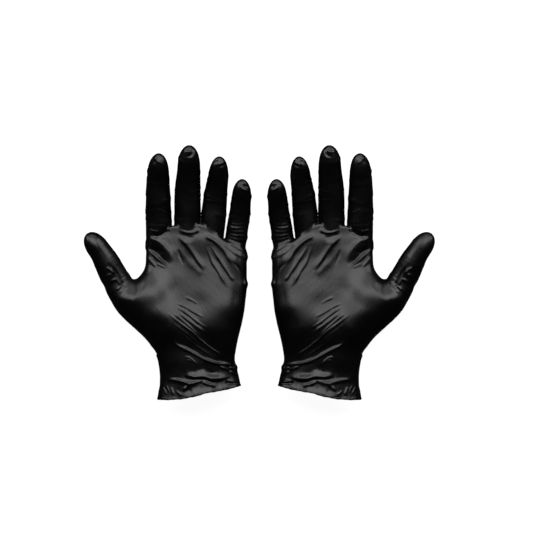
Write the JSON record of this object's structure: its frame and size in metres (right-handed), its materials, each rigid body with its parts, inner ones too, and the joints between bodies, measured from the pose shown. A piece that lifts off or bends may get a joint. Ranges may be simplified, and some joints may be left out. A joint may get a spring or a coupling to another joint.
{
  "type": "pair of disposable gloves",
  "caption": "Pair of thin black dipped gloves shaped by the hand, palm up, with rolled cuff beads and fingers, thumbs and cuffs that bend.",
  "frame": {"origin": "on the surface that the gloves lie on, below the middle of the pair's bounding box", "axes": "+X from the left glove to the right glove, +Y from the cuffs to the fingertips, +Z out of the palms"},
  "size_m": [0.3198, 0.233, 0.0419],
  "materials": {
    "nitrile_film": "satin black nitrile film",
    "rolled_bead": "satin black nitrile, rolled up double"
  },
  "bodies": {
    "left_palm": {"left_palm": "nitrile_film"},
    "right_palm": {"right_palm": "nitrile_film"},
    "left_cuff": {"left_cuff": "nitrile_film", "left_cuff_bead": "rolled_bead"},
    "left_index_base": {"left_index_base_sleeve": "nitrile_film"},
    "left_index_mid": {"left_index_mid_sleeve": "nitrile_film"},
    "left_index_tip": {"left_index_tip_sleeve": "nitrile_film"},
    "left_middle_base": {"left_middle_base_sleeve": "nitrile_film"},
    "left_middle_mid": {"left_middle_mid_sleeve": "nitrile_film"},
    "left_middle_tip": {"left_middle_tip_sleeve": "nitrile_film"},
    "left_ring_base": {"left_ring_base_sleeve": "nitrile_film"},
    "left_ring_mid": {"left_ring_mid_sleeve": "nitrile_film"},
    "left_ring_tip": {"left_ring_tip_sleeve": "nitrile_film"},
    "left_little_base": {"left_little_base_sleeve": "nitrile_film"},
    "left_little_mid": {"left_little_mid_sleeve": "nitrile_film"},
    "left_little_tip": {"left_little_tip_sleeve": "nitrile_film"},
    "left_thumb_base": {"left_thumb_base_sleeve": "nitrile_film"},
    "left_thumb_tip": {"left_thumb_tip_sleeve": "nitrile_film"},
    "right_cuff": {"right_cuff": "nitrile_film", "right_cuff_bead": "rolled_bead"},
    "right_index_base": {"right_index_base_sleeve": "nitrile_film"},
    "right_index_mid": {"right_index_mid_sleeve": "nitrile_film"},
    "right_index_tip": {"right_index_tip_sleeve": "nitrile_film"},
    "right_middle_base": {"right_middle_base_sleeve": "nitrile_film"},
    "right_middle_mid": {"right_middle_mid_sleeve": "nitrile_film"},
    "right_middle_tip": {"right_middle_tip_sleeve": "nitrile_film"},
    "right_ring_base": {"right_ring_base_sleeve": "nitrile_film"},
    "right_ring_mid": {"right_ring_mid_sleeve": "nitrile_film"},
    "right_ring_tip": {"right_ring_tip_sleeve": "nitrile_film"},
    "right_little_base": {"right_little_base_sleeve": "nitrile_film"},
    "right_little_mid": {"right_little_mid_sleeve": "nitrile_film"},
    "right_little_tip": {"right_little_tip_sleeve": "nitrile_film"},
    "right_thumb_base": {"right_thumb_base_sleeve": "nitrile_film"},
    "right_thumb_tip": {"right_thumb_tip_sleeve": "nitrile_film"}
  },
  "joints": [
    {"name": "right_glove_lift", "type": "slide", "parent": "left_palm", "child": "right_palm", "axis": [0, 0, 1], "range_m": [0, 0.12]},
    {"name": "left_wrist_bend", "type": "hinge", "parent": "left_palm", "child": "left_cuff", "pos_m": [-0.058, -0.072, 0.0195], "axis": [-1, 0, 0], "range_deg": [-10, 45], "stiffness_Nm_per_rad": 0.02},
    {"name": "left_index_base_bend", "type": "hinge", "parent": "left_palm", "child": "left_index_base", "pos_m": [-0.0914, 0.047, 0.0145], "axis": [1, -0.0087, 0], "range_deg": [-12, 60], "stiffness_Nm_per_rad": 0.003},
    {"name": "left_index_mid_bend", "type": "hinge", "parent": "left_index_base", "child": "left_index_mid", "pos_m": [-0.09121, 0.06878, 0.01756], "axis": [1, -0.0087, 0], "range_deg": [-12, 70], "stiffness_Nm_per_rad": 0.002},
    {"name": "left_index_tip_bend", "type": "hinge", "parent": "left_index_mid", "child": "left_index_tip", "pos_m": [-0.09104, 0.0878, 0.02374], "axis": [1, -0.0087, 0], "range_deg": [-6, 35]},
    {"name": "left_middle_base_bend", "type": "hinge", "parent": "left_palm", "child": "left_middle_base", "pos_m": [-0.0652, 0.052, 0.0148], "axis": [0.999, -0.0436, 0], "range_deg": [-12, 60], "stiffness_Nm_per_rad": 0.003},
    {"name": "left_middle_mid_bend", "type": "hinge", "parent": "left_middle_base", "child": "left_middle_mid", "pos_m": [-0.06436, 0.07129, 0.01751], "axis": [0.999, -0.0436, 0], "range_deg": [-12, 70], "stiffness_Nm_per_rad": 0.002},
    {"name": "left_middle_tip_bend", "type": "hinge", "parent": "left_middle_mid", "child": "left_middle_tip", "pos_m": [-0.06345, 0.09219, 0.02431], "axis": [0.999, -0.0436, 0], "range_deg": [-6, 35]},
    {"name": "left_ring_base_bend", "type": "hinge", "parent": "left_palm", "child": "left_ring_base", "pos_m": [-0.0417, 0.051, 0.0146], "axis": [0.9934, -0.1149, 0], "range_deg": [-12, 60], "stiffness_Nm_per_rad": 0.003},
    {"name": "left_ring_mid_bend", "type": "hinge", "parent": "left_ring_base", "child": "left_ring_mid", "pos_m": [-0.03959, 0.0692, 0.01717], "axis": [0.9934, -0.1149, 0], "range_deg": [-12, 70], "stiffness_Nm_per_rad": 0.002},
    {"name": "left_ring_tip_bend", "type": "hinge", "parent": "left_ring_mid", "child": "left_ring_tip", "pos_m": [-0.03752, 0.08715, 0.02305], "axis": [0.9934, -0.1149, 0], "range_deg": [-6, 35]},
    {"name": "left_little_base_bend", "type": "hinge", "parent": "left_palm", "child": "left_little_base", "pos_m": [-0.0209, 0.036, 0.0134], "axis": [0.9936, -0.1132, 0], "range_deg": [-12, 52], "stiffness_Nm_per_rad": 0.003},
    {"name": "left_little_mid_bend", "type": "hinge", "parent": "left_little_base", "child": "left_little_mid", "pos_m": [-0.01911, 0.05174, 0.01563], "axis": [0.9936, -0.1132, 0], "range_deg": [-12, 60], "stiffness_Nm_per_rad": 0.002},
    {"name": "left_little_tip_bend", "type": "hinge", "parent": "left_little_mid", "child": "left_little_tip", "pos_m": [-0.01748, 0.06599, 0.02001], "axis": [0.9936, -0.1132, 0], "range_deg": [-6, 30]},
    {"name": "left_thumb_base_bend", "type": "hinge", "parent": "left_palm", "child": "left_thumb_base", "pos_m": [-0.1292, -0.0068, 0.0218], "axis": [0.6394, 0.5001, -0.5839], "range_deg": [-10, 40], "stiffness_Nm_per_rad": 0.004},
    {"name": "left_thumb_tip_bend", "type": "hinge", "parent": "left_thumb_base", "child": "left_thumb_tip", "pos_m": [-0.13827, 0.01047, 0.02666], "axis": [0.5866, 0.5519, -0.5927], "range_deg": [-15, 60], "stiffness_Nm_per_rad": 0.002},
    {"name": "right_wrist_bend", "type": "hinge", "parent": "right_palm", "child": "right_cuff", "pos_m": [0.058, -0.072, 0.0195], "axis": [-1, 0, 0], "range_deg": [-10, 45], "stiffness_Nm_per_rad": 0.02},
    {"name": "right_index_base_bend", "type": "hinge", "parent": "right_palm", "child": "right_index_base", "pos_m": [0.0914, 0.047, 0.0145], "axis": [1, 0.0087, 0], "range_deg": [-12, 60], "stiffness_Nm_per_rad": 0.003},
    {"name": "right_index_mid_bend", "type": "hinge", "parent": "right_index_base", "child": "right_index_mid", "pos_m": [0.09121, 0.06878, 0.01756], "axis": [1, 0.0087, 0], "range_deg": [-12, 70], "stiffness_Nm_per_rad": 0.002},
    {"name": "right_index_tip_bend", "type": "hinge", "parent": "right_index_mid", "child": "right_index_tip", "pos_m": [0.09104, 0.0878, 0.02374], "axis": [1, 0.0087, 0], "range_deg": [-6, 35]},
    {"name": "right_middle_base_bend", "type": "hinge", "parent": "right_palm", "child": "right_middle_base", "pos_m": [0.0652, 0.052, 0.0148], "axis": [0.999, 0.0436, 0], "range_deg": [-12, 60], "stiffness_Nm_per_rad": 0.003},
    {"name": "right_middle_mid_bend", "type": "hinge", "parent": "right_middle_base", "child": "right_middle_mid", "pos_m": [0.06436, 0.07129, 0.01751], "axis": [0.999, 0.0436, 0], "range_deg": [-12, 70], "stiffness_Nm_per_rad": 0.002},
    {"name": "right_middle_tip_bend", "type": "hinge", "parent": "right_middle_mid", "child": "right_middle_tip", "pos_m": [0.06345, 0.09219, 0.02431], "axis": [0.999, 0.0436, 0], "range_deg": [-6, 35]},
    {"name": "right_ring_base_bend", "type": "hinge", "parent": "right_palm", "child": "right_ring_base", "pos_m": [0.0417, 0.051, 0.0146], "axis": [0.9934, 0.1149, 0], "range_deg": [-12, 60], "stiffness_Nm_per_rad": 0.003},
    {"name": "right_ring_mid_bend", "type": "hinge", "parent": "right_ring_base", "child": "right_ring_mid", "pos_m": [0.03959, 0.0692, 0.01717], "axis": [0.9934, 0.1149, 0], "range_deg": [-12, 70], "stiffness_Nm_per_rad": 0.002},
    {"name": "right_ring_tip_bend", "type": "hinge", "parent": "right_ring_mid", "child": "right_ring_tip", "pos_m": [0.03752, 0.08715, 0.02305], "axis": [0.9934, 0.1149, 0], "range_deg": [-6, 35]},
    {"name": "right_little_base_bend", "type": "hinge", "parent": "right_palm", "child": "right_little_base", "pos_m": [0.0209, 0.036, 0.0134], "axis": [0.9936, 0.1132, 0], "range_deg": [-12, 52], "stiffness_Nm_per_rad": 0.003},
    {"name": "right_little_mid_bend", "type": "hinge", "parent": "right_little_base", "child": "right_little_mid", "pos_m": [0.01911, 0.05174, 0.01563], "axis": [0.9936, 0.1132, 0], "range_deg": [-12, 60], "stiffness_Nm_per_rad": 0.002},
    {"name": "right_little_tip_bend", "type": "hinge", "parent": "right_little_mid", "child": "right_little_tip", "pos_m": [0.01748, 0.06599, 0.02001], "axis": [0.9936, 0.1132, 0], "range_deg": [-6, 30]},
    {"name": "right_thumb_base_bend", "type": "hinge", "parent": "right_palm", "child": "right_thumb_base", "pos_m": [0.1292, -0.0068, 0.0218], "axis": [0.6394, -0.5001, 0.5839], "range_deg": [-10, 40], "stiffness_Nm_per_rad": 0.004},
    {"name": "right_thumb_tip_bend", "type": "hinge", "parent": "right_thumb_base", "child": "right_thumb_tip", "pos_m": [0.13827, 0.01047, 0.02666], "axis": [0.5866, -0.5519, 0.5927], "range_deg": [-15, 60], "stiffness_Nm_per_rad": 0.002}
  ],
  "couplings": [
    {"joint": "left_index_tip_bend", "follows": "left_index_mid_bend", "ratio": 0.5},
    {"joint": "left_middle_tip_bend", "follows": "left_middle_mid_bend", "ratio": 0.5},
    {"joint": "left_ring_tip_bend", "follows": "left_ring_mid_bend", "ratio": 0.5},
    {"joint": "left_little_tip_bend", "follows": "left_little_mid_bend", "ratio": 0.5},
    {"joint": "right_index_tip_bend", "follows": "right_index_mid_bend", "ratio": 0.5},
    {"joint": "right_middle_tip_bend", "follows": "right_middle_mid_bend", "ratio": 0.5},
    {"joint": "right_ring_tip_bend", "follows": "right_ring_mid_bend", "ratio": 0.5},
    {"joint": "right_little_tip_bend", "follows": "right_little_mid_bend", "ratio": 0.5}
  ]
}
